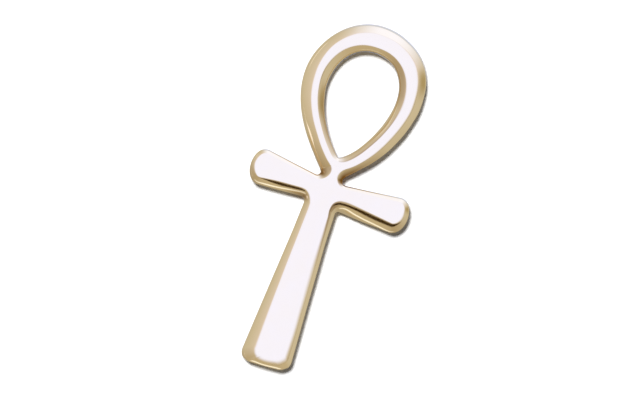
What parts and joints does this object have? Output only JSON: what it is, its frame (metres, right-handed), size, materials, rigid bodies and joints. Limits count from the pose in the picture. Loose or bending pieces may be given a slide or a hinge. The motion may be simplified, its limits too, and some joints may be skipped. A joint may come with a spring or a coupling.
{
  "type": "ankh pendant",
  "caption": "Ankh pendant in one cast piece: a domed teardrop loop that takes a chain, over two flared arms and a tapered stem with rounded edges.",
  "frame": {"origin": "middle of the pendant's outline on the flat back, which rests on the floor", "axes": "+Y from the foot to the loop, +X along the right arm as seen from the face, +Z out of the face"},
  "size_m": [0.0176, 0.038, 0.002],
  "materials": {
    "gold": "polished"
  },
  "bodies": {
    "root": {"ankh": "gold"}
  },
  "joints": []
}
